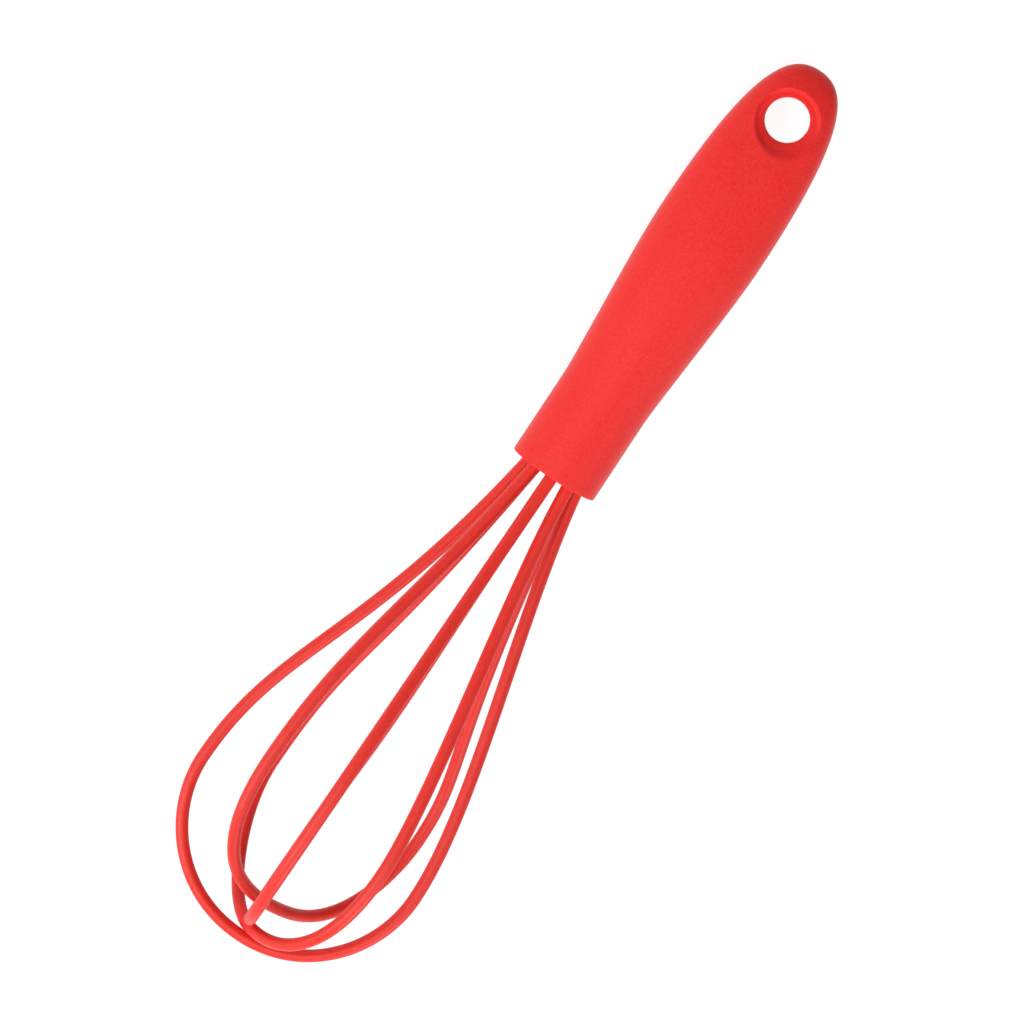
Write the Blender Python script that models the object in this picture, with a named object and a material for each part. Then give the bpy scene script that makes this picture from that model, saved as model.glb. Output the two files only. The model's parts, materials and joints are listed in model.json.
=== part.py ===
"""Balloon whisk: four coated wire loops locked into a soft moulded handle with a hanging eye.

All sizes are in metres. The whisk is built along its own X axis. The mouth of the handle is at x = 0, the
wire cage reaches forward along +X and the handle runs back along -X. The hanging eye runs along its own
Z axis, and the outermost loop lies in its own XY plane. Last of all the whisk is laid down on z = 0, the
way it comes to rest on a table: on the handle and on two neighbouring strands.
"""

from collections import namedtuple
from math import cos, pi, radians, sin, tan

import bmesh
import bpy
import numpy as np
from mathutils import Matrix, Vector

# Fits
CLEARANCE = 0.0003  # gap between two pieces that fit together

# Wire loops
WIRE_DIAMETER = 0.0016
JACKET_WALL = 0.0005
STRAND_CIRCLE = 0.0136  # circle on which the eight strands leave the mouth
LOOP_REACH = 0.1373  # from the mouth to the tip of the outermost loop
CAGE_LEAN = -0.0155  # sideways drift of the cage for each metre of reach
CROWN_PULL = 0.50  # usual roundness between the widest place and the tip
TIP_PULL = 0.60  # usual roundness at the tip, as a share of the half width

# Wire tails inside the handle
TAIL_CIRCLE = 0.0092
PLUG_LENGTH = 0.020
PLUG_RIM = 0.0012  # material outside the holes of the plug
FUNNEL_LENGTH = 0.008  # where the tails draw together in front of the plug

# Seal behind the mouth
SEAL_RECESS = 0.0010
SEAL_THICKNESS = 0.0042
SEAL_RIM = 0.0006  # material outside the holes of the seal

# Handle, measured back from its mouth
HANDLE_LENGTH = 0.1153
SKIN = 0.0019  # soft skin over the core
MOUTH_EDGE = 0.0005  # rounding of the rim
WAIST_AT = 0.0220
WAIST_DRAW_IN = 0.00005  # how far the waist draws in from the mouth, on each side
BELLY_AT = 0.0680
BELLY_WIDTH = 0.0283
BELLY_DEPTH = 0.0226
BELLY_FALL = 0.070  # slope of the side view at the belly, which thins towards the eye
WAIST_PULL = 0.13  # the next five values shape the handle's outline between its widths
BELLY_FRONT_PULL = 0.26
BELLY_REAR_PULL = 0.85
END_WIDTH_PULL = 0.0080
END_DEPTH_PULL = 0.0042
END_SQUARENESS = 1.0  # added to the section's power of 2 at the far end

# Hanging eye
EYE_FROM_END = 0.0140
EYE_DIAMETER = 0.0108
DISH_WIDTH = 0.0021
DISH_DEPTH = 0.0012
DISH_FILLET = 0.0010
EYE_WALL = 0.0050  # soft material between the dish and the end of the core

# Facets
HANDLE_SIDES = 28
CORE_SIDES = 20
EYE_SIDES = 28
HOLE_SIDES = 12
RIM_SIDES = 32
NECK_STEPS = 16
CROWN_STEPS = 10
FUNNEL_STEPS = 5

# One side of a loop, from the mouth to the tip. It leaves the mouth at an angle, swells to its widest place,
# which lies some way short of the tip, and turns in to the tip. The pulls say how straight it stays, and
# the bow how far it bends out of its loop's plane.
Side = namedtuple(
    "Side",
    "leaves widest short_of_tip neck_pull swell_pull crown_pull tip_pull bow",
    defaults=(CROWN_PULL, TIP_PULL, 0.0),
)

# A loop. Its tip stops short of the tip before it by a jacket and the tip gap. A tip may sit off the middle.
# Such a loop crosses the middle further back, so the gap to its tip can be less than nothing.
Loop = namedtuple("Loop", "azimuth tip_gap tip_shift left right")

LOOPS = (
    Loop(
        azimuth=radians(0.0),
        tip_gap=0.0,
        tip_shift=0.0003,
        left=Side(radians(8.2), 0.0318, 0.0323, 0.58, 0.32),
        right=Side(radians(9.6), 0.0304, 0.0310, 0.34, 0.25),
    ),
    Loop(
        azimuth=radians(47.9),
        tip_gap=0.00015,
        tip_shift=0.0009,
        left=Side(radians(8.7), 0.0259, 0.0334, 0.68, 0.36, 0.52, 0.42),
        right=Side(radians(6.7), 0.0298, 0.0329, 0.28, 0.215, 0.65, 0.55),
    ),
    Loop(
        azimuth=radians(90.0),
        tip_gap=0.0,
        tip_shift=0.0036,
        left=Side(radians(9.4), 0.0294, 0.0385, 0.50, 0.28, 0.50, 0.69, -0.0007),
        right=Side(radians(9.4), 0.0294, 0.0385, 0.50, 0.28, 0.50, 0.69),
    ),
    Loop(
        azimuth=radians(-46.1),
        tip_gap=-0.0002,
        tip_shift=0.0100,
        left=Side(radians(10.2), 0.0257, 0.0358, 0.48, 0.36, 0.63, 0.99),
        right=Side(radians(12.7), 0.0344, 0.0290, 0.79, 0.23, 0.36, 0.54),
    ),
)

# Sizes that follow from the ones above
JACKET_DIAMETER = WIRE_DIAMETER + 2 * (CLEARANCE + JACKET_WALL)
TAIL_HOLE_RADIUS = WIRE_DIAMETER / 2 + CLEARANCE
STRAND_HOLE_RADIUS = JACKET_DIAMETER / 2 + CLEARANCE
SEAL_RADIUS = STRAND_CIRCLE / 2 + STRAND_HOLE_RADIUS + SEAL_RIM
MOUTH_RADIUS = SEAL_RADIUS + CLEARANCE + SKIN
SEAL_BACK = SEAL_RECESS + SEAL_THICKNESS
CORE_FRONT = SEAL_BACK + CLEARANCE
FUNNEL_RADIUS = STRAND_CIRCLE / 2 + WIRE_DIAMETER / 2 + CLEARANCE
PLUG_FRONT = CORE_FRONT + FUNNEL_LENGTH
PLUG_BACK = PLUG_FRONT + PLUG_LENGTH
PLUG_RADIUS = TAIL_CIRCLE / 2 + TAIL_HOLE_RADIUS + PLUG_RIM
EYE_AT = HANDLE_LENGTH - EYE_FROM_END
DISH_RADIUS = EYE_DIAMETER / 2 + DISH_WIDTH
CORE_BACK = EYE_AT - DISH_RADIUS - EYE_WALL
CUT_MARGIN = 10 * CLEARANCE  # how far a cutter stands past the faces it opens


def cubic(start, start_handle, end_handle, end, t):
    """The point at t on a cubic curve."""
    s = 1 - t
    return start * s**3 + start_handle * 3 * s * s * t + end_handle * 3 * s * t * t + end * t**3


def material(name, colour, roughness, metallic=0.0):
    """A plain finish in linear colour."""
    finish = bpy.data.materials.new(name)
    finish.use_nodes = True
    shader = finish.node_tree.nodes["Principled BSDF"]
    shader.inputs["Base Color"].default_value = (*colour, 1)
    shader.inputs["Roughness"].default_value = roughness
    shader.inputs["Metallic"].default_value = metallic
    return finish


def add_to_whisk(piece, finish):
    """Give a piece its finish and hang it on the whisk's empty."""
    piece.data.materials.append(finish)
    bpy.context.collection.objects.link(piece)
    piece.parent = whisk
    return piece


def ring_solid(name, stacks, finish):
    """A piece skinned over stacks of rings, each stack closed at both ends. A ring of one point is a pole."""
    mesh = bmesh.new()
    for rings in stacks:
        rows = [[mesh.verts.new(point) for point in ring] for ring in rings]
        for near, far in zip(rows, rows[1:]):
            sides = max(len(near), len(far))
            for i in range(sides):
                j = (i + 1) % sides
                if len(far) == 1:
                    corners = (near[i], near[j], far[0])
                else:
                    corners = (near[i], near[j], far[j], far[i])
                mesh.faces.new(corners)
        for row in (rows[0], rows[-1]):
            if len(row) > 2:
                mesh.faces.new(row)
    bmesh.ops.recalc_face_normals(mesh, faces=mesh.faces)
    data = bpy.data.meshes.new(name)
    mesh.to_mesh(data)
    mesh.free()
    data.shade_smooth()
    data.set_sharp_from_angle(angle=radians(40))
    return add_to_whisk(bpy.data.objects.new(name, data), finish)


def circle(centre, axis, radius, sides):
    """Points round a circle that faces along the axis."""
    turn = axis.to_track_quat("Z", "Y")
    angles = [2 * pi * i / sides for i in range(sides)]
    return [centre + turn @ Vector((radius * cos(a), radius * sin(a), 0)) for a in angles]


def rod(start, end, radius, sides):
    """The two rings of a straight round rod."""
    axis = (end - start).normalized()
    return [circle(start, axis, radius, sides), circle(end, axis, radius, sides)]


def turned(profile, sides):
    """Rings about the whisk's own axis, from distances behind the mouth and radii."""
    axis = Vector((1, 0, 0))
    return [circle(Vector((-behind, 0, 0)), axis, radius, sides) for behind, radius in profile]


def cut(piece, cutter):
    """Take the cutter's shape out of a piece."""
    cutter.hide_render = True
    cutter.display_type = "WIRE"
    boolean = piece.modifiers.new("cut_" + cutter.name, "BOOLEAN")
    boolean.operation = "DIFFERENCE"
    boolean.object = cutter


def handle_spans():
    """The handle's outline as three curves through (distance behind the mouth, half width, half depth)."""
    waist_radius = MOUTH_RADIUS - WAIST_DRAW_IN
    mouth = Vector((0, MOUTH_RADIUS, MOUTH_RADIUS))
    waist = Vector((WAIST_AT, waist_radius, waist_radius))
    belly = Vector((BELLY_AT, BELLY_WIDTH / 2, BELLY_DEPTH / 2))
    end = Vector((HANDLE_LENGTH, 0, 0))
    along = Vector((1, 0, 0))
    along_belly = Vector((1, 0, -BELLY_FALL))
    to_belly = BELLY_AT - WAIST_AT
    to_end = HANDLE_LENGTH - BELLY_AT
    return (
        (mouth, mouth + along * WAIST_AT / 3, waist - along * WAIST_AT / 3, waist),
        (
            waist,
            waist + along * WAIST_PULL * to_belly,
            belly - along_belly * BELLY_FRONT_PULL * to_belly,
            belly,
        ),
        (
            belly,
            belly + along_belly * BELLY_REAR_PULL * to_end,
            end + Vector((0, END_WIDTH_PULL, END_DEPTH_PULL)),
            end,
        ),
    )


def handle_section(behind):
    """The handle's half width and half depth at a distance behind the mouth, found by halving."""
    span = next(s for s in handle_spans() if behind <= s[3].x)
    low, high = 0.0, 1.0
    for _ in range(40):
        middle = (low + high) / 2
        if cubic(*span, middle).x < behind:
            low = middle
        else:
            high = middle
    return cubic(*span, low)


def section_ring(section, inset, sides):
    """An oval ring of the handle, drawn in by an inset. It grows squarer towards the end of the handle."""
    behind, half_width, half_depth = section
    power = 2 / (2 + END_SQUARENESS * (behind / HANDLE_LENGTH) ** 3)
    ring = []
    for i in range(sides):
        across, up = cos(2 * pi * i / sides), sin(2 * pi * i / sides)
        y = (half_width - inset) * abs(across) ** power * (1 if across > 0 else -1)
        z = (half_depth - inset) * abs(up) ** power * (1 if up > 0 else -1)
        ring.append(Vector((-behind, y, z)))
    return ring


def inner_rings(start, end, inset, steps):
    """Rings that follow the handle's outline from the inside."""
    places = np.linspace(start, end, steps + 1)
    return [section_ring(handle_section(behind), inset, CORE_SIDES) for behind in places]


def dish_frame():
    """The middle of the dish's floor on the upper face, and the way it faces: square to the sloping skin."""
    front = handle_section(EYE_AT - DISH_RADIUS).z
    back = handle_section(EYE_AT + DISH_RADIUS).z
    middle = Vector((-EYE_AT, 0, (front + back) / 2 - DISH_DEPTH))
    return middle, Vector((back - front, 0, 2 * DISH_RADIUS)).normalized()


def dish_rings(middle, facing):
    """Rings of a dish with a flat floor and a rounded inside corner."""
    profile = []
    for angle in (0, pi / 6, pi / 3, pi / 2):
        radius = DISH_RADIUS - DISH_FILLET + DISH_FILLET * sin(angle)
        profile.append((radius, DISH_FILLET * (1 - cos(angle))))
    profile.append((DISH_RADIUS, BELLY_DEPTH))
    return [circle(middle + facing * height, facing, radius, EYE_SIDES) for radius, height in profile]


def pierce_eye(grip, finish):
    """Cut the hanging eye: a straight hole, with a dish sunk into both faces round it."""
    through = Vector((0, 0, BELLY_DEPTH))
    at_eye = Vector((-EYE_AT, 0, 0))
    hole = rod(at_eye - through, at_eye + through, EYE_DIAMETER / 2, EYE_SIDES)
    cut(grip, ring_solid("hanging_eye", [hole], finish))
    middle, facing = dish_frame()
    under = Vector((1, 1, -1))
    cut(grip, ring_solid("upper_dish", [dish_rings(middle, facing)], finish))
    cut(grip, ring_solid("lower_dish", [dish_rings(middle * under, facing * under)], finish))


def make_handle_grip(finish):
    """The soft skin: a lofted outline, hollowed for the core and pierced by the hanging eye."""
    rings = []
    for angle in (0, pi / 4):
        draw_in = MOUTH_EDGE * (1 - sin(angle))
        behind = MOUTH_EDGE * (1 - cos(angle))
        rings.append(section_ring((behind, MOUTH_RADIUS, MOUTH_RADIUS), draw_in, HANDLE_SIDES))
    mouth_span, waist_span, end_span = handle_spans()
    first_section = handle_section(MOUTH_EDGE)
    rings.append(section_ring(first_section, 0, HANDLE_SIDES))
    for span, steps in ((mouth_span, 2), (waist_span, 8), (end_span, 16)):
        for i in range(1, steps + 1):
            rings.append(section_ring(cubic(*span, i / steps), 0, HANDLE_SIDES))
    rings[-1] = [Vector((-HANDLE_LENGTH, 0, 0))]
    grip = ring_solid("handle_grip", [rings], finish)
    hollow = inner_rings(0, CORE_BACK, SKIN, 12)
    hollow.insert(0, [point + Vector((CUT_MARGIN, 0, 0)) for point in hollow[0]])
    cut(grip, ring_solid("core_space", [hollow], finish))
    pierce_eye(grip, finish)
    return grip


def make_handle_core(finish):
    """The rigid core, with a socket for the plug and a funnel in front of it for the tails."""
    rings = inner_rings(CORE_FRONT, CORE_BACK - CLEARANCE, SKIN + CLEARANCE, 10)
    core = ring_solid("handle_core", [rings], finish)
    socket_radius = PLUG_RADIUS + CLEARANCE
    socket = turned(
        (
            (CORE_FRONT - CUT_MARGIN, FUNNEL_RADIUS),
            (CORE_FRONT, FUNNEL_RADIUS),
            (PLUG_FRONT, socket_radius),
            (PLUG_BACK + CLEARANCE, socket_radius),
        ),
        CORE_SIDES,
    )
    cut(core, ring_solid("plug_socket", [socket], finish))
    return core


def strand_directions():
    """For each of the eight strands: its outward direction and the side of the loop it belongs to."""
    for loop in LOOPS:
        outward = Vector((0, cos(loop.azimuth), sin(loop.azimuth)))
        yield -outward, loop.left
        yield outward, loop.right


def make_wire_plug(finish):
    """The plug in the core's socket, with a hole for each wire tail."""
    profile = ((PLUG_FRONT, PLUG_RADIUS), (PLUG_BACK, PLUG_RADIUS))
    plug = ring_solid("wire_plug", [turned(profile, CORE_SIDES)], finish)
    holes = []
    for outward, _ in strand_directions():
        start = outward * TAIL_CIRCLE / 2 - Vector((PLUG_FRONT - CUT_MARGIN, 0, 0))
        end = outward * TAIL_CIRCLE / 2 - Vector((PLUG_BACK + CUT_MARGIN, 0, 0))
        holes.append(rod(start, end, TAIL_HOLE_RADIUS, HOLE_SIDES))
    cut(plug, ring_solid("tail_holes", holes, finish))
    return plug


def make_mouth_seal(finish):
    """The disc behind the rim, with a slanting hole for each strand."""
    profile = ((SEAL_RECESS, SEAL_RADIUS), (SEAL_BACK, SEAL_RADIUS))
    seal = ring_solid("mouth_seal", [turned(profile, RIM_SIDES)], finish)
    holes = []
    for outward, side in strand_directions():
        along = Vector((1, 0, 0)) + outward * tan(side.leaves)
        at_mouth = outward * STRAND_CIRCLE / 2
        start = at_mouth - along * (SEAL_RECESS - CLEARANCE)
        end = at_mouth - along * (SEAL_BACK + CLEARANCE)
        holes.append(rod(start, end, STRAND_HOLE_RADIUS, HOLE_SIDES))
    cut(seal, ring_solid("strand_holes", holes, finish))
    return seal


def strand_outside(side, reach, tip_shift):
    """Points of one strand from the mouth to the tip: along, outwards and out of the loop's plane."""
    mouth = Vector((0, STRAND_CIRCLE / 2, 0))
    widest = Vector((reach - side.short_of_tip, side.widest, 0))
    tip = Vector((reach, tip_shift, 0))
    leaving = Vector((cos(side.leaves), sin(side.leaves), 0)) * side.neck_pull * widest.x
    swell = Vector((side.swell_pull * widest.x, 0, 0))
    crown = Vector((side.crown_pull * side.short_of_tip, 0, 0))
    round_tip = Vector((0, side.tip_pull * side.widest, 0))
    bow = Vector((0, 0, side.bow * 4 / 3))
    neck = (mouth, mouth + leaving + bow, widest - swell + bow, widest)
    top = (widest, widest + crown - bow * crown.x / swell.x, tip + round_tip, tip)
    points = [cubic(*neck, i / NECK_STEPS) for i in range(NECK_STEPS)]
    return points + [cubic(*top, i / CROWN_STEPS) for i in range(CROWN_STEPS + 1)]


def strand_inside(side, bare_tail):
    """Points of one strand inside the handle, up to the mouth. The jacket ends at the back of the seal."""
    radius_at_seal = STRAND_CIRCLE / 2 - SEAL_BACK * tan(side.leaves)
    at_seal = Vector((-SEAL_BACK, radius_at_seal, 0))
    if not bare_tail:
        return [at_seal]
    at_plug = Vector((-PLUG_FRONT, TAIL_CIRCLE / 2, 0))
    tail_end = Vector((-PLUG_BACK, TAIL_CIRCLE / 2, 0))
    pull = FUNNEL_LENGTH / 3
    along = Vector((1, tan(side.leaves), 0))
    funnel = (at_plug, at_plug + Vector((pull, 0, 0)), at_seal - along * pull, at_seal)
    return [tail_end] + [cubic(*funnel, i / FUNNEL_STEPS) for i in range(FUNNEL_STEPS + 1)]


def loop_points(loop, reach, bare_tails):
    """A whole loop in its own plane, from the end of its left strand to the end of its right one."""
    left = strand_inside(loop.left, bare_tails) + strand_outside(loop.left, reach, -loop.tip_shift)
    right = strand_inside(loop.right, bare_tails) + strand_outside(loop.right, reach, loop.tip_shift)
    points = [p * Vector((1, -1, 1)) for p in left] + right[-2::-1]
    across = Vector((0, cos(loop.azimuth), -sin(loop.azimuth)))
    return [p + across * CAGE_LEAN * max(p.x, 0) for p in points]


def bent_tube(name, points, diameter, resolution, loop, finish):
    """A round tube along a loop's points, turned to the loop's place round the whisk."""
    path = bpy.data.curves.new(name, "CURVE")
    path.dimensions = "3D"
    path.twist_mode = "Z_UP"
    path.bevel_depth = diameter / 2
    path.bevel_resolution = resolution
    spline = path.splines.new("POLY")
    spline.points.add(len(points) - 1)
    for spot, point in zip(spline.points, points):
        spot.co = (*point, 1)
    tube = add_to_whisk(bpy.data.objects.new(name, path), finish)
    tube.rotation_euler.x = loop.azimuth
    return tube


def make_loops(steel, silicone):
    """The four loops, outermost first: a steel wire with bare tails inside a silicone jacket."""
    jackets = []
    reach = LOOP_REACH + JACKET_DIAMETER
    for number, loop in enumerate(LOOPS, start=1):
        reach -= JACKET_DIAMETER + loop.tip_gap
        whole = loop_points(loop, reach, True)
        wire = bent_tube(f"steel_wire_{number}", whole, WIRE_DIAMETER, 1, loop, steel)
        wire.data.use_fill_caps = True
        covered = loop_points(loop, reach, False)
        jacket = bent_tube(f"wire_jacket_{number}", covered, JACKET_DIAMETER, 2, loop, silicone)
        wall = jacket.modifiers.new("wall", "SOLIDIFY")
        wall.thickness = JACKET_WALL
        wall.offset = -1
        jackets.append(jacket)
    return jackets


def points_of(piece):
    """The corners of a finished piece in the whisk's frame."""
    evaluated = piece.evaluated_get(bpy.context.evaluated_depsgraph_get())
    mesh = evaluated.to_mesh()
    corners = np.empty(3 * len(mesh.vertices), np.float32)
    mesh.vertices.foreach_get("co", corners)
    evaluated.to_mesh_clear()
    turn = np.array(evaluated.matrix_world)
    return corners.reshape(-1, 3) @ turn[:3, :3].T + turn[:3, 3]


def halved(low, high, too_low):
    """The angle at which a test changes from true to false."""
    for _ in range(30):
        middle = (low + high) / 2
        if too_low(middle):
            low = middle
        else:
            high = middle
    return low


def resting_turn(grip, first_strand, second_strand):
    """Roll and pitch that bring the handle and two strands down to the same height."""

    def lowest(points, roll, pitch):
        turn = np.array(Matrix.Rotation(-pitch, 3, "Y") @ Matrix.Rotation(roll, 3, "X"))
        return (points @ turn[2]).min()

    def pitch_at(roll):
        def cage_too_high(pitch):
            cage = min(lowest(first_strand, roll, -pitch), lowest(second_strand, roll, -pitch))
            return cage > lowest(grip, roll, -pitch)

        return -halved(radians(-20), radians(20), cage_too_high)

    def first_is_lower(roll):
        pitch = pitch_at(roll)
        return lowest(first_strand, roll, pitch) < lowest(second_strand, roll, pitch)

    roll = halved(0, radians(45), first_is_lower)
    return Matrix.Rotation(-pitch_at(roll), 4, "Y") @ Matrix.Rotation(roll, 4, "X")


def lay_down(grip, jackets):
    """Turn the whisk to its resting pose, its box centred over the origin and its lowest point at z = 0."""
    bpy.context.view_layer.update()
    skins = [points_of(piece) for piece in (grip, *jackets)]
    turn = resting_turn(skins[0], skins[3], skins[2])
    every_point = np.vstack(skins) @ np.array(turn.to_3x3()).T
    low, high = every_point.min(axis=0), every_point.max(axis=0)
    shift = Vector((-(low[0] + high[0]) / 2, -(low[1] + high[1]) / 2, -low[2]))
    whisk.matrix_world = Matrix.Translation(shift) @ turn


for leftover in list(bpy.data.objects):
    bpy.data.objects.remove(leftover)

whisk = bpy.data.objects.new("whisk", None)
bpy.context.collection.objects.link(whisk)

red_silicone = material("red_silicone", (0.80, 0.045, 0.04), 0.55)
seal_silicone = material("seal_silicone", (0.45, 0.02, 0.02), 0.6)
core_plastic = material("core_plastic", (0.75, 0.73, 0.68), 0.5)
spring_steel = material("spring_steel", (0.56, 0.56, 0.55), 0.3, 1.0)

handle_grip = make_handle_grip(red_silicone)
make_handle_core(core_plastic)
make_wire_plug(core_plastic)
make_mouth_seal(seal_silicone)
lay_down(handle_grip, make_loops(spring_steel, red_silicone))
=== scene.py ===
# %% [markdown]
# # A balloon whisk
# The whisk has a soft red handle with a hanging eye and a cage of four red loops, which cross at the tip. The
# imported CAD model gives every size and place, so it is loaded first, and nothing in it is moved. The smooth
# pieces that a camera sees are then modelled over it, one at a time.

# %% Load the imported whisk
import json
from collections import namedtuple
from math import atan2, cos, pi, radians, sin, tan

import bmesh
import bpy
from mathutils import Matrix, Vector


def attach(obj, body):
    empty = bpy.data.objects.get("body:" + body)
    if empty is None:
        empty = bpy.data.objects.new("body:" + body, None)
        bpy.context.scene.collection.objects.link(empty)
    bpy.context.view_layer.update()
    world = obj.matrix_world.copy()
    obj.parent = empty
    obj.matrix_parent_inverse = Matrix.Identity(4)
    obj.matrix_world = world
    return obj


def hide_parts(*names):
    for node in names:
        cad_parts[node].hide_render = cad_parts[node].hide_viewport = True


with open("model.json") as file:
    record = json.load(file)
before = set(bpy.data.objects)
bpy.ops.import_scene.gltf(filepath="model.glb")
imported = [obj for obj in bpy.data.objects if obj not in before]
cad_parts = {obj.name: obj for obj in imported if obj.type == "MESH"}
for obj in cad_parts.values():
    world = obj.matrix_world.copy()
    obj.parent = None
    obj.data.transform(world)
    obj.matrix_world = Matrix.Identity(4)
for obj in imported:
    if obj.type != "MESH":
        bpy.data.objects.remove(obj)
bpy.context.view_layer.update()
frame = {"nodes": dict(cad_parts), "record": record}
print("CAD nodes:", ", ".join(sorted(frame["nodes"])))

# %% [markdown]
# ## The whisk's own axes
# The whisk lies on a table, rolled and pitched a little, so its own axes don't follow the room's. It is much
# easier to model along straight axes and to lay the finished mesh down at the end. Two flat faces in the record
# give the axes: the rim of the mouth faces along the whisk, and the floor of the eye's dish faces out of it.

# %% Find the whisk's own axes
RIM_MIDDLE = 0.0103  # the rim's mount sits this far above the whisk's axis

mounts = {mount["name"]: mount for mount in frame["record"]["mounts"]}
ahead = Vector(mounts["mouth_rim"]["axis"]).normalized()
out = Vector(mounts["eye_face"]["axis"])
out = (out - out.dot(ahead) * ahead).normalized()
mouth_middle = Vector(mounts["mouth_rim"]["pos_m"]) - RIM_MIDDLE * out
lay_down = Matrix((ahead, out.cross(ahead), out)).transposed().to_4x4()
lay_down.translation = mouth_middle
print("the mouth's middle:", [round(value, 4) for value in mouth_middle])

# %% [markdown]
# ## The camera
# The photo looks almost straight down on the broad side of the handle, from about a metre away, with the handle
# running from the top right to the bottom left. A long lens on a camera in the whisk's own axes repeats that.
# The tilt says how far the cage leans towards the camera.

# %% Place the camera
VIEW_TILT = 0.1239
CAMERA_PLACE = Vector((0.01313, -0.00335, 0.9622))  # along the tilted whisk, across it, and out of it
TIP_RIGHTWARDS = -0.55062  # the direction from handle to tip, in the picture
TIP_DOWNWARDS = 0.83476
LENS = 140.6

tilted_ahead = Vector((cos(VIEW_TILT), 0, sin(VIEW_TILT)))
tilted_out = Vector((-sin(VIEW_TILT), 0, cos(VIEW_TILT)))
sideways = Vector((0, 1, 0))
view_right = TIP_RIGHTWARDS * tilted_ahead + TIP_DOWNWARDS * sideways
view_up = -TIP_DOWNWARDS * tilted_ahead + TIP_RIGHTWARDS * sideways
view_place = CAMERA_PLACE.x * tilted_ahead + CAMERA_PLACE.y * sideways + CAMERA_PLACE.z * tilted_out
view = Matrix((view_right, view_up, tilted_out)).transposed().to_4x4()
view.translation = view_place

bpy.ops.object.select_all(action="DESELECT")
bpy.ops.object.camera_add()
camera = bpy.context.object
camera.matrix_world = lay_down @ view
camera.data.lens = LENS
bpy.context.scene.camera = camera
print("camera at", [round(value, 3) for value in camera.matrix_world.translation])

# %% [markdown]
# ## Red silicone
# Silicone rubber is matte and soft to the eye. Its red is even, but close up it has a fine speckled grain, and
# its edges look paler, because a faint bloom on the skin scatters light at a slant. A noise pattern on the
# object's own coordinates varies the red and the roughness a little, and a sheen gives the bloom.

# %% Make the silicone finishes


def link(finish, source, target):
    """Join two sockets of a finish."""
    finish.node_tree.links.new(source, target)


def speckle(finish, scale, detail):
    """A fine noise pattern on the object's own coordinates."""
    nodes = finish.node_tree.nodes
    place = nodes.new("ShaderNodeTexCoord")
    noise = nodes.new("ShaderNodeTexNoise")
    noise.inputs["Scale"].default_value = scale
    noise.inputs["Detail"].default_value = detail
    link(finish, place.outputs["Object"], noise.inputs["Vector"])
    return noise.outputs["Fac"]


def ramp(finish, source, low, high):
    """Turn a pattern into colours that run from low to high."""
    colours = finish.node_tree.nodes.new("ShaderNodeValToRGB")
    colours.color_ramp.elements[0].position = 0.3
    colours.color_ramp.elements[0].color = (*low, 1)
    colours.color_ramp.elements[1].position = 0.7
    colours.color_ramp.elements[1].color = (*high, 1)
    link(finish, source, colours.inputs["Fac"])
    return colours.outputs["Color"]


def spread(finish, source, low, high):
    """Map a pattern to numbers between low and high."""
    numbers = finish.node_tree.nodes.new("ShaderNodeMapRange")
    numbers.inputs["To Min"].default_value = low
    numbers.inputs["To Max"].default_value = high
    link(finish, source, numbers.inputs["Value"])
    return numbers.outputs["Result"]


def bumped(finish, source, height):
    """Raise a surface by a pattern, with a height in metres."""
    bump = finish.node_tree.nodes.new("ShaderNodeBump")
    bump.inputs["Distance"].default_value = height
    link(finish, source, bump.inputs["Height"])
    return bump.outputs["Normal"]


def silicone(name, dull, bright, grain, depth, rough, gloss, sheen):
    """A matte rubber finish with a speckled red, a slightly uneven gloss and a pale bloom."""
    finish = bpy.data.materials.new(name)
    finish.use_nodes = True
    shader = finish.node_tree.nodes["Principled BSDF"]
    fine = speckle(finish, grain, 2)
    link(finish, ramp(finish, fine, dull, bright), shader.inputs["Base Color"])
    link(finish, spread(finish, fine, rough - 0.05, rough + 0.05), shader.inputs["Roughness"])
    link(finish, bumped(finish, fine, depth), shader.inputs["Normal"])
    shader.inputs["Specular IOR Level"].default_value = gloss
    shader.inputs["Sheen Weight"].default_value = sheen
    shader.inputs["Sheen Roughness"].default_value = 0.4
    return finish


handle_red = silicone(
    "handle_red", (0.83, 0.009, 0.005), (0.89, 0.026, 0.022),
    grain=1800, depth=2e-5, rough=0.55, gloss=0.38, sheen=0.17,
)
jacket_red = silicone(
    "jacket_red", (0.77, 0.023, 0.013), (0.81, 0.028, 0.018),
    grain=700, depth=2e-6, rough=0.42, gloss=0.40, sheen=0.06,
)
seal_red = silicone(
    "seal_red", (0.40, 0.015, 0.014), (0.46, 0.020, 0.018),
    grain=1800, depth=2e-5, rough=0.60, gloss=0.50, sheen=0.10,
)
print("finishes:", handle_red.name, jacket_red.name, seal_red.name)

# %% [markdown]
# ## The handle's outline
# From the mouth the handle runs nearly straight, swells to a belly and turns in to a rounded end. Its sections
# are ovals that grow squarer towards the end. Three cubic curves give the half width and half depth at any
# place, with the same sizes as the CAD model.

# %% Draw the handle's outline
HANDLE_LENGTH = 0.1153
MOUTH_RADIUS = 0.0115
WAIST = Vector((0.0220, 0.01145, 0.01145))  # distance behind the mouth, half width, half depth
BELLY = Vector((0.0680, 0.01415, 0.01130))
BELLY_FALL = Vector((1, 0, -0.070))
END_PULL = Vector((0, 0.0080, 0.0042))
SQUARENESS = 1.0


def cubic(points, t):
    """The point at t on a cubic curve."""
    s = 1 - t
    a, b, c, d = points
    return a * s**3 + b * 3 * s * s * t + c * 3 * s * t * t + d * t**3


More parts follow.
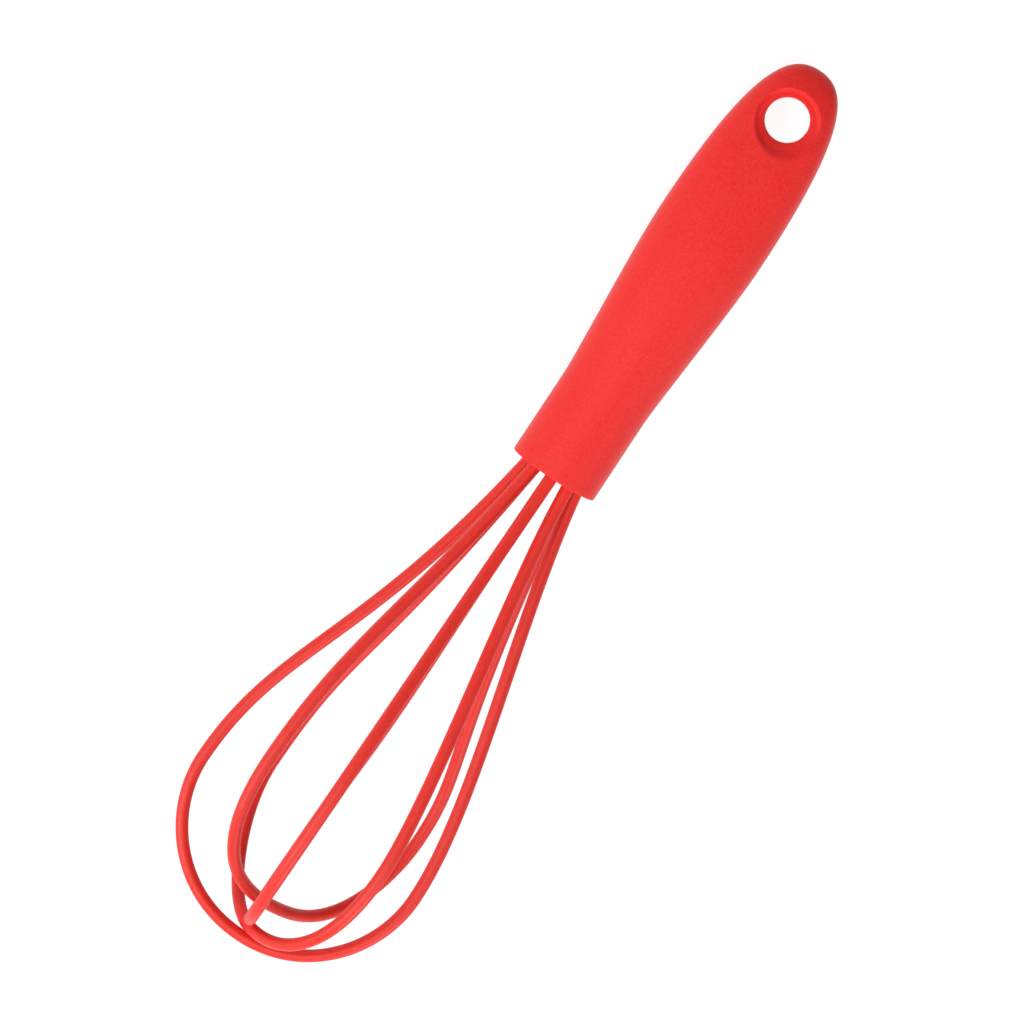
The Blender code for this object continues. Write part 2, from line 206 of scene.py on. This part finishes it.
along = Vector((1, 0, 0))
mouth = Vector((0, MOUTH_RADIUS, MOUTH_RADIUS))
end = Vector((HANDLE_LENGTH, 0, 0))
to_belly = BELLY.x - WAIST.x
to_end = HANDLE_LENGTH - BELLY.x
outline = (
    (mouth, mouth + along * WAIST.x / 3, WAIST - along * WAIST.x / 3, WAIST),
    (WAIST, WAIST + along * 0.13 * to_belly, BELLY - BELLY_FALL * 0.26 * to_belly, BELLY),
    (BELLY, BELLY + BELLY_FALL * 0.85 * to_end, end + END_PULL, end),
)


def section_at(behind):
    """Half width and half depth at a distance behind the mouth, found by halving."""
    span = next(curve for curve in outline if behind <= curve[3].x)
    low, high = 0.0, 1.0
    for _ in range(40):
        middle = (low + high) / 2
        if cubic(span, middle).x < behind:
            low = middle
        else:
            high = middle
    return cubic(span, low)


def roundness(behind):
    """The power of the oval at a distance behind the mouth: 2 is a plain oval."""
    return 2 + SQUARENESS * (behind / HANDLE_LENGTH) ** 3


def oval(section, inset, sides):
    """The points of one section, drawn in by an inset."""
    behind, half_width, half_depth = section
    power = 2 / roundness(behind)
    points = []
    for i in range(sides):
        across, up = cos(2 * pi * i / sides), sin(2 * pi * i / sides)
        y = (half_width - inset) * abs(across) ** power * (1 if across > 0 else -1)
        z = (half_depth - inset) * abs(up) ** power * (1 if up > 0 else -1)
        points.append(Vector((-behind, y, z)))
    return points


print("belly:", [round(1000 * value, 1) for value in section_at(BELLY.x)], "mm")

# %% [markdown]
# ## The handle
# The handle is one hollow moulding. By hand it is made from a circle: its edge is extruded again and again, and
# each new ring is put in its place, first along the inside from the back of the hollow to the mouth, then over
# the rim and along the outside to the far end. A ring keeps its numbers when it is extruded, so a number stored
# on each point says where the point belongs.

# %% Extrude the handle ring by ring
SIDES = 48
SKIN = 0.0019
HOLLOW_BACK = 0.0888
EYE_AT = 0.1013
EYE_SIDES = 12  # the eye's patch: sides across, rings before its middle and rings behind it
EYE_RINGS_BEFORE = 8
EYE_RINGS_BEHIND = 6
EYE_STEP = 0.00145


def start_piece(name, points):
    """Add a circle, open it in edit mode, number its points and put them in place."""
    bpy.ops.object.select_all(action="DESELECT")
    bpy.ops.mesh.primitive_circle_add(vertices=len(points), radius=MOUTH_RADIUS)
    piece = bpy.context.object
    piece.name = name
    bpy.ops.object.mode_set(mode="EDIT")
    bpy.ops.mesh.select_mode(type="VERT")
    bpy.ops.mesh.select_all(action="SELECT")
    shape = bmesh.from_edit_mesh(piece.data)
    number = shape.verts.layers.int.new("number")
    for i, point in enumerate(shape.verts):
        point[number] = i
    put(piece, points)
    return piece


def put(piece, points):
    """Move the selected points to the places that their numbers name."""
    shape = bmesh.from_edit_mesh(piece.data)
    number = shape.verts.layers.int["number"]
    for point in shape.verts:
        if point.select:
            point.co = points[point[number]]
    bmesh.update_edit_mesh(piece.data)


def extrude_to(piece, points):
    """Extrude the selected ring and put the new ring in place."""
    bpy.ops.mesh.extrude_region_move()
    put(piece, points)


def select_points(piece, wanted):
    """Select the points that a test names."""
    bpy.ops.mesh.select_all(action="DESELECT")
    shape = bmesh.from_edit_mesh(piece.data)
    for point in shape.verts:
        point.select = wanted(point)
    shape.select_flush_mode()
    bmesh.update_edit_mesh(piece.data)


def evenly(start, stop, steps):
    """Evenly spaced values after start, up to and with stop."""
    return [start + (stop - start) * (i + 1) / steps for i in range(steps)]


inner = [section_at(b) for b in evenly(HOLLOW_BACK, 0.0008, 22)]
eye_front = EYE_AT - EYE_RINGS_BEFORE * EYE_STEP
eye_back = EYE_AT + EYE_RINGS_BEHIND * EYE_STEP
outer = [section_at(b) for b in evenly(0.0010, eye_front, 44)]
outer += [section_at(b) for b in evenly(eye_front, eye_back, EYE_RINGS_BEFORE + EYE_RINGS_BEHIND)]
last_span = [cubic(outline[2], t) for t in evenly(0, 0.985, 60)]
outer += [section for section in last_span if section.x > eye_back + 0.0008]

handle = start_piece("soft_handle", oval(section_at(HOLLOW_BACK), SKIN, SIDES))
for section in inner:
    extrude_to(handle, oval(section, SKIN, SIDES))
rim = (  # distance behind the mouth, inset from the outside
    (0.0003, SKIN - 0.0001),
    (0.0, SKIN - 0.0003),
    (0.0, SKIN / 2),
    (0.0, 0.00025),
    (0.00003, 0.00007),
    (0.00012, 0.00001),
    (0.0004, 0.0),
)
for behind, inset in rim:
    extrude_to(handle, oval((behind, MOUTH_RADIUS, MOUTH_RADIUS), inset, SIDES))
for section in outer:
    extrude_to(handle, oval(section, 0, SIDES))
bpy.ops.mesh.extrude_region_move()
bpy.ops.mesh.merge(type="CENTER")
select_points(handle, lambda point: point.co.x > 1)
shape = bmesh.from_edit_mesh(handle.data)
tip_point = min(shape.verts, key=lambda point: point.co.x)
tip_point.co = (-HANDLE_LENGTH, 0, 0)
bmesh.update_edit_mesh(handle.data)
select_points(handle, lambda point: point.is_boundary)
bpy.ops.mesh.edge_face_add()
bpy.ops.mesh.poke()
print("handle rings:", len(inner) + len(rim) + len(outer))

# %% [markdown]
# ## The hanging eye
# The eye is a round hole with a flat-floored dish sunk round it, on both faces. A Boolean would leave ragged
# edges in a curved surface. Instead a square patch of faces is deleted on each face, the edge of the gap is
# drawn in to a circle, and that circle is extruded down the wall of the dish, over its floor and into the hole.
# The two holes are then bridged.

# %% Sink the hanging eye
EYE_RADIUS = 0.0054
DISH_RADIUS = 0.0075
DISH_DEPTH = 0.0012

dish_front = section_at(EYE_AT - DISH_RADIUS).z
dish_back = section_at(EYE_AT + DISH_RADIUS).z
dish_floor = (dish_front + dish_back) / 2 - DISH_DEPTH
dish_slope = (dish_front - dish_back) / (2 * DISH_RADIUS)


def skin_height(x, y):
    """How far the handle's skin stands out above its axis."""
    behind, half_width, half_depth = section_at(-x)
    power = roundness(behind)
    return half_depth * max(0.0, 1 - (abs(y) / half_width) ** power) ** (1 / power)


def eye_ring(ring, face, count):
    """Points round the eye. A rise of 1 is on the skin and 0 is on the dish's floor; the drop goes below."""
    points = []
    for i in range(count):
        turn = Vector((cos(2 * pi * i / count), sin(2 * pi * i / count)))
        radius = ring.radius + ring.soft * ((1 + turn.dot(SOFT_SIDE)) / 2) ** 3
        floor_height = dish_floor + radius * turn.x * dish_slope
        edge = max(radius, DISH_RADIUS)
        skin = skin_height(edge * turn.x - EYE_AT, edge * turn.y)
        height = floor_height + ring.rise * (skin - floor_height) - ring.drop - ring.dip * (1 + turn.x) / 2
        points.append(Vector((radius * turn.x - EYE_AT, radius * turn.y, face * height)))
    return points


SOFT_SIDE = Vector((0.74, 0.67))  # the side where the dish runs out gently into the skin
# soft widens a ring on that side, and dip lowers it on the side of the mouth
Ring = namedtuple("Ring", "radius rise drop soft dip", defaults=(0, 0, 0))
EYE_RINGS = (
    Ring(DISH_RADIUS + 0.00050, 1.00, 0, 0.0026),
    Ring(DISH_RADIUS + 0.00018, 1.00, 0, 0.0021),
    Ring(DISH_RADIUS + 0.00002, 0.93, 0, 0.0016),
    Ring(DISH_RADIUS - 0.00010, 0.62, 0, 0.0010),
    Ring(DISH_RADIUS - 0.00020, 0.28, 0, 0.0005),
    Ring(DISH_RADIUS - 0.00038, 0.05, 0, 0.0002, 0.00002),
    Ring(DISH_RADIUS - 0.00070, 0.0, 0, 0, 0.00008),
    Ring(DISH_RADIUS - 0.00130, 0.0, 0, 0, 0.00025),
    Ring(EYE_RADIUS + 0.00035, 0.0, 0, 0, 0.0004),
    Ring(EYE_RADIUS + 0.00010, 0.0, 0.00006, 0, 0.0004),
    Ring(EYE_RADIUS, 0.0, 0.0003, 0, 0.0004),
    Ring(EYE_RADIUS, 0.0, 0.0010, 0, 0.0003),
    Ring(EYE_RADIUS, 0.0, 0.0030),
)


def sink_eye(face):
    """Open a patch on one face of the handle and shape it into the dish and half of the hole."""
    top = SIDES // 4 if face > 0 else 3 * SIDES // 4
    bpy.ops.mesh.select_mode(type="FACE")
    bpy.ops.mesh.select_all(action="DESELECT")
    shape = bmesh.from_edit_mesh(handle.data)
    number = shape.verts.layers.int["number"]
    for side in shape.faces:
        middle = side.calc_center_median()
        near = all(abs(point[number] - top) <= EYE_SIDES // 2 for point in side.verts)
        side.select = near and face * middle.z > 0 and eye_front < -middle.x < eye_back
    bmesh.update_edit_mesh(handle.data)
    bpy.ops.mesh.delete(type="FACE")
    bpy.ops.mesh.select_mode(type="VERT")
    select_points(handle, lambda point: point.is_boundary and face * point.co.z > 0)
    shape = bmesh.from_edit_mesh(handle.data)
    number = shape.verts.layers.int["number"]
    edge = [point for point in shape.verts if point.select]
    edge.sort(key=lambda point: round(atan2(point.co.y, point.co.x + EYE_AT), 6) % (2 * pi))
    for i, point in enumerate(edge):
        point[number] = i
    bmesh.update_edit_mesh(handle.data)
    for ring in EYE_RINGS:
        extrude_to(handle, eye_ring(ring, face, len(edge)))
    return len(edge)


points_round_eye = [sink_eye(face) for face in (1, -1)]
select_points(handle, lambda point: point.is_boundary)
bpy.ops.mesh.bridge_edge_loops()
bpy.ops.mesh.select_all(action="SELECT")
bpy.ops.mesh.normals_make_consistent(inside=False)
bpy.ops.object.mode_set(mode="OBJECT")
print("points round the eye:", points_round_eye)

# %% [markdown]
# ## Finishing a piece
# A subdivision modifier smooths the rings. It is applied, so that the mesh holds the final shape, and then the
# mesh is laid down where the whisk lies. The object itself stays at the origin, unturned.

# %% Smooth the handle and lay it down


def finish_piece(piece, finish, node):
    """Shade a piece, lay its mesh down on the table and let it stand for its CAD node."""
    bpy.ops.object.select_all(action="DESELECT")
    piece.select_set(True)
    bpy.context.view_layer.objects.active = piece
    bpy.ops.object.shade_smooth_by_angle(angle=radians(50))
    piece.data.transform(lay_down)
    piece.data.materials.clear()
    piece.data.materials.append(finish)
    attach(piece, "root")
    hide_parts(node)
    print(piece.name, "stands for", node, "with", len(piece.data.polygons), "faces")


def apply_modifiers(piece):
    """Apply every modifier of a piece, in order."""
    bpy.ops.object.select_all(action="DESELECT")
    piece.select_set(True)
    bpy.context.view_layer.objects.active = piece
    for modifier in list(piece.modifiers):
        bpy.ops.object.modifier_apply(modifier=modifier.name)


smooth = handle.modifiers.new("smooth", "SUBSURF")
smooth.levels = 1
smooth.render_levels = 1
apply_modifiers(handle)
finish_piece(handle, handle_red, "handle_grip")

# %% [markdown]
# ## The wire loops
# Each loop leaves the mouth, swells, turns over at the tip and comes back. Seven knots of a Bezier curve hold
# it: the two ends behind the seal, the two places at the mouth, the two widest places and the tip. A round bevel
# makes the curve a tube, and a Solidify modifier gives the tube its wall, because the real jacket is a sleeve on
# a steel wire. The outermost loop comes first, and each next one keeps a gap to it at the tip.

# %% Bend the wire jackets
JACKET_DIAMETER = 0.0032
JACKET_WALL = 0.0005
STRAND_CIRCLE = 0.0136
SEAL_BACK = 0.0052
LOOP_REACH = 0.1373
CAGE_LEAN = -0.0155

# aside moves the widest place out of the loop's own plane, and bow bends the strand on either side of it.
Side = namedtuple(
    "Side", "leaves widest short_of_tip neck swell crown tip aside bow", defaults=(0.50, 0.60, 0, 0)
)
Loop = namedtuple("Loop", "azimuth gap shift left right")
LOOPS = (
    Loop(
        0.0, 0.0, 0.0003,
        Side(8.2, 0.0318, 0.0323, 0.58, 0.32),
        Side(9.6, 0.0304, 0.0310, 0.34, 0.25),
    ),
    Loop(
        47.9, 0.00015, 0.0009,
        Side(8.7, 0.0259, 0.0334, 0.68, 0.36, 0.48, 0.42),
        Side(6.7, 0.0298, 0.0329, 0.28, 0.215, 0.65, 0.55),
    ),
    Loop(
        90.0, 0.0, 0.0036,
        Side(9.4, 0.0294, 0.0385, 0.50, 0.28, 0.50, 0.69, -0.0006, -0.0010),
        Side(9.4, 0.0294, 0.0385, 0.50, 0.28, 0.50, 0.69),
    ),
    Loop(
        -46.1, -0.0002, 0.0100,
        Side(10.2, 0.0257, 0.0358, 0.48, 0.36, 0.63, 0.99),
        Side(12.7, 0.0344, 0.0290, 0.79, 0.23, 0.36, 0.54),
    ),
)


def half_loop(side, reach, shift, hand):
    """Knots of one side of a loop, each with its handles before and after, from behind the seal to the tip."""
    slope = tan(radians(side.leaves))
    at_mouth = Vector((0, STRAND_CIRCLE / 2, 0))
    behind = Vector((-SEAL_BACK, STRAND_CIRCLE / 2 - SEAL_BACK * slope, 0))
    third = (at_mouth - behind) / 3
    widest = Vector((reach - side.short_of_tip, side.widest, side.aside))
    leaving = Vector((cos(radians(side.leaves)), sin(radians(side.leaves)), 0)) * side.neck * widest.x
    swell = Vector((side.swell * widest.x, 0, 0))
    crown = Vector((side.crown * side.short_of_tip, 0, 0))
    bow = Vector((0, 0, side.bow))
    tip = Vector((reach, hand * shift, 0))
    knots = [
        (behind - third, behind, behind + third),
        (at_mouth - third, at_mouth, at_mouth + leaving),
        (widest - swell + bow, widest, widest + crown - bow * crown.x / swell.x),
        (tip + Vector((0, side.tip * side.widest, 0)), tip, tip),
    ]
    return [tuple(Vector((point.x, hand * point.y, point.z)) for point in knot) for knot in knots]


def loop_knots(loop, reach):
    """All knots of a loop, leaned with the cage and turned to the loop's place round the whisk."""
    left = half_loop(loop.left, reach, loop.shift, -1)
    right = half_loop(loop.right, reach, loop.shift, 1)
    tip = (left[3][0], left[3][1], right[3][0])
    knots = left[:3] + [tip] + [tuple(reversed(knot)) for knot in reversed(right[:3])]
    turn = Matrix.Rotation(radians(loop.azimuth), 3, "X")
    lean = Vector((0, CAGE_LEAN, 0))
    return [tuple(turn @ point + lean * max(point.x, 0) for point in knot) for knot in knots]


def bend_tube(name, knots):
    """A tube on a Bezier curve through the knots, made a mesh with a wall."""
    bpy.ops.object.select_all(action="DESELECT")
    bpy.ops.curve.primitive_bezier_curve_add()
    tube = bpy.context.object
    tube.name = name
    path = tube.data
    path.resolution_u = 40
    path.bevel_depth = JACKET_DIAMETER / 2
    path.bevel_resolution = 6
    spline = path.splines[0]
    spline.bezier_points.add(len(knots) - len(spline.bezier_points))
    for spot, (before, middle, after) in zip(spline.bezier_points, knots):
        spot.handle_left_type = "FREE"
        spot.handle_right_type = "FREE"
        spot.co = middle
        spot.handle_left = before
        spot.handle_right = after
    bpy.ops.object.convert(target="MESH")
    tube = bpy.context.object
    wall = tube.modifiers.new("wall", "SOLIDIFY")
    wall.thickness = JACKET_WALL
    wall.offset = -1
    apply_modifiers(tube)
    return tube


reach = LOOP_REACH + JACKET_DIAMETER
for number, loop in enumerate(LOOPS, start=1):
    reach -= JACKET_DIAMETER + loop.gap
    jacket = bend_tube(f"soft_jacket_{number}", loop_knots(loop, reach))
    finish_piece(jacket, jacket_red, f"wire_jacket_{number}")

# %% [markdown]
# ## The seal in the mouth
# A disc of softer rubber closes the mouth a millimetre behind the rim. Its edges are a little rounded, and each
# strand passes through a hole of its own, drilled at the angle at which the strand leaves the mouth.

# %% Model the seal
SEAL_RADIUS = 0.0093
SEAL_RECESS = 0.0010
SEAL_THICKNESS = 0.0042
SEAL_EDGE = 0.0003
CLEARANCE = 0.0003
DRILL_LENGTH = 3 * SEAL_THICKNESS

bpy.ops.object.select_all(action="DESELECT")
bpy.ops.mesh.primitive_cylinder_add(
    vertices=64,
    radius=SEAL_RADIUS,
    depth=SEAL_THICKNESS,
    location=(-SEAL_RECESS - SEAL_THICKNESS / 2, 0, 0),
    rotation=(0, pi / 2, 0),
)
seal = bpy.context.object
seal.name = "soft_seal"
bpy.ops.object.transform_apply(location=True, rotation=True, scale=True)
edge_round = seal.modifiers.new("edge_round", "BEVEL")
edge_round.width = SEAL_EDGE
edge_round.segments = 3
edge_round.limit_method = "ANGLE"
apply_modifiers(seal)

for loop in LOOPS:
    for side, hand in ((loop.left, -1), (loop.right, 1)):
        outward = Vector((0, hand * cos(radians(loop.azimuth)), hand * sin(radians(loop.azimuth))))
        direction = Vector((1, 0, 0)) + outward * tan(radians(side.leaves))
        middle = outward * STRAND_CIRCLE / 2 - direction * (SEAL_RECESS + SEAL_THICKNESS / 2)
        bpy.ops.object.select_all(action="DESELECT")
        bpy.ops.mesh.primitive_cylinder_add(
            vertices=32,
            radius=JACKET_DIAMETER / 2 + CLEARANCE,
            depth=DRILL_LENGTH,
            location=middle,
            rotation=direction.to_track_quat("Z", "Y").to_euler(),
        )
        drill = bpy.context.object
        hole = seal.modifiers.new("hole", "BOOLEAN")
        hole.object = drill
        hole.solver = "EXACT"
        apply_modifiers(seal)
        bpy.data.objects.remove(drill)
finish_piece(seal, seal_red, "mouth_seal")

# %% [markdown]
# ## The hidden pieces
# The core, the plug and the steel wires are rigid and closed in. Their CAD shapes are right, so they stay and
# only get a finish.

# %% Finish the hidden pieces


def plain_finish(name, dull, bright, grain, rough, metallic):
    """A finish with a fine grain, for a rigid piece."""
    finish = bpy.data.materials.new(name)
    finish.use_nodes = True
    shader = finish.node_tree.nodes["Principled BSDF"]
    fine = speckle(finish, grain, 3)
    link(finish, ramp(finish, fine, dull, bright), shader.inputs["Base Color"])
    link(finish, spread(finish, fine, rough - 0.06, rough + 0.06), shader.inputs["Roughness"])
    shader.inputs["Metallic"].default_value = metallic
    return finish


core_white = plain_finish("core_white", (0.70, 0.68, 0.63), (0.78, 0.76, 0.71), 900, 0.5, 0.0)
wire_steel = plain_finish("wire_steel", (0.50, 0.50, 0.49), (0.60, 0.60, 0.59), 4000, 0.3, 1.0)
hidden = {"handle_core": core_white, "wire_plug": core_white}
hidden.update({f"steel_wire_{number}": wire_steel for number in range(1, len(LOOPS) + 1)})
for node, finish in hidden.items():
    mesh = frame["nodes"][node].data
    mesh.materials.clear()
    mesh.materials.append(finish)
print("finished:", ", ".join(hidden))

# %% [markdown]
# ## The floor and the light
# The photo shows the whisk on plain white. A pale floor glows white to the camera and still takes a part of its
# brightness from the light on it, so that the whisk keeps a soft shadow. A white world fills the shade. It
# is darker beyond the handle's end, so that the end and the insides of the bends turn a deeper red. Three large
# lamps a long way off, from the left, the front and the right, model the round of the handle.

# %% Lay the floor
GLOW = 0.90  # how bright the floor is to the camera, before the light on it is added
LIT_SHARE = 0.17  # how much of the light on the floor the camera sees, and so the shadow
WHITE = (1, 1, 1, 1)

bpy.ops.object.select_all(action="DESELECT")
bpy.ops.mesh.primitive_plane_add(size=6, location=(0, 0, -0.0001))
floor = bpy.context.object
floor.name = "floor"
bpy.ops.object.transform_apply(location=True)
paper = bpy.data.materials.new("paper")
paper.use_nodes = True
nodes = paper.node_tree.nodes
nodes.clear()
surface = nodes.new("ShaderNodeOutputMaterial")
rays = nodes.new("ShaderNodeLightPath")
direct = nodes.new("ShaderNodeMath")
direct.operation = "MAXIMUM"
seen = nodes.new("ShaderNodeMath")
seen.operation = "MAXIMUM"
pale = nodes.new("ShaderNodeBsdfDiffuse")
pale.inputs["Color"].default_value = (0.85, 0.85, 0.85, 1)
shaded = nodes.new("ShaderNodeBsdfDiffuse")
shaded.inputs["Color"].default_value = (LIT_SHARE, LIT_SHARE, LIT_SHARE, 1)
glow = nodes.new("ShaderNodeEmission")
glow.inputs["Color"].default_value = WHITE
glow.inputs["Strength"].default_value = GLOW
bright = nodes.new("ShaderNodeAddShader")
either = nodes.new("ShaderNodeMixShader")
link(paper, rays.outputs["Is Camera Ray"], direct.inputs[0])
link(paper, rays.outputs["Is Glossy Ray"], direct.inputs[1])
link(paper, direct.outputs[0], seen.inputs[0])
link(paper, rays.outputs["Is Transmission Ray"], seen.inputs[1])
link(paper, shaded.outputs[0], bright.inputs[0])
link(paper, glow.outputs[0], bright.inputs[1])
link(paper, seen.outputs[0], either.inputs["Fac"])
link(paper, pale.outputs[0], either.inputs[1])
link(paper, bright.outputs[0], either.inputs[2])
link(paper, either.outputs[0], surface.inputs["Surface"])
floor.data.materials.append(paper)
print("floor:", [round(value, 1) for value in floor.dimensions])

# %% Set the light
WORLD_DARK = 0.10  # the light that comes from beyond the handle's end
WORLD_LIGHT = 0.60
WORLD_EDGE = 0.3  # how far towards the tip, on the room's X axis, the full light is reached
Lamp = namedtuple("Lamp", "name right up out power size")  # the place as the camera sees it, from the whisk
LAMPS = (
    Lamp("left_lamp", -1.88, -0.56, 1.70, 27.2, 1.4),
    Lamp("front_lamp", -0.50, -0.90, 2.20, 14.3, 1.4),
    Lamp("right_lamp", 0.82, -2.38, 0.66, 27.2, 1.4),
)

world = bpy.data.worlds.new("white_room")
bpy.context.scene.world = world
world.use_nodes = True
sky = world.node_tree.nodes
sky["Background"].inputs["Color"].default_value = WHITE
heading = sky.new("ShaderNodeTexCoord")
axes = sky.new("ShaderNodeSeparateXYZ")
level = sky.new("ShaderNodeMapRange")
level.inputs["From Min"].default_value = -1
level.inputs["From Max"].default_value = WORLD_EDGE
level.inputs["To Min"].default_value = WORLD_DARK
level.inputs["To Max"].default_value = WORLD_LIGHT
link(world, heading.outputs["Generated"], axes.inputs["Vector"])
link(world, axes.outputs["X"], level.inputs["Value"])
link(world, level.outputs["Result"], sky["Background"].inputs["Strength"])

turn_of_view = camera.matrix_world.to_3x3()
for lamp in LAMPS:
    bpy.ops.object.select_all(action="DESELECT")
    bpy.ops.object.light_add(type="AREA")
    light = bpy.context.object
    light.name = lamp.name
    light.data.energy = lamp.power
    light.data.size = lamp.size
    light.location = turn_of_view @ Vector((lamp.right, lamp.up, lamp.out))
    light.rotation_euler = light.location.to_track_quat("Z", "Y").to_euler()
    print(lamp.name, "at", [round(value, 2) for value in light.location])
bpy.context.scene.view_settings.view_transform = "Standard"

# %% [markdown]
# ## The last update
# The view layer is updated once more at the end.

# %% Update and finish
bpy.context.view_layer.update()
